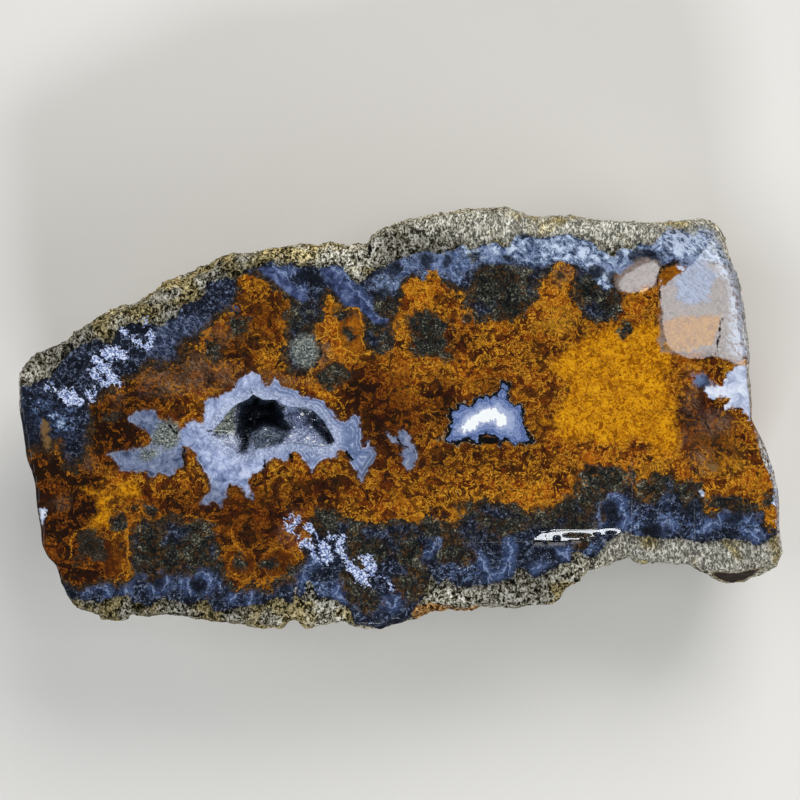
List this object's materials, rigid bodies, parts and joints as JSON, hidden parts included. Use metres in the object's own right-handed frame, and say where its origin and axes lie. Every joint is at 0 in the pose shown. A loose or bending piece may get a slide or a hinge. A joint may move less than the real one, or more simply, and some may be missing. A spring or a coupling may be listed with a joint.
{
  "type": "agate geode",
  "caption": "Rough block of vein agate, sawn flat across mossy inclusions and banded chalcedony, with a rind of host rock along both sides and a crystal-lined hollow open in the sawn face.",
  "frame": {"origin": "middle of the bounding box's underside, on the flat back that the stone lies on", "axes": "+X along the block, to the right of its sawn face; +Y towards the long rind edge at the face's top; +Z out of the sawn face"},
  "size_m": [0.169, 0.0936, 0.044],
  "materials": {
    "agate": "sawn and wet face, rough rind and broken ends",
    "quartz": "clear to milky crystal faces"
  },
  "bodies": {
    "root": {"agate_block": "agate", "quartz_crystal_crust": "quartz"}
  },
  "joints": []
}
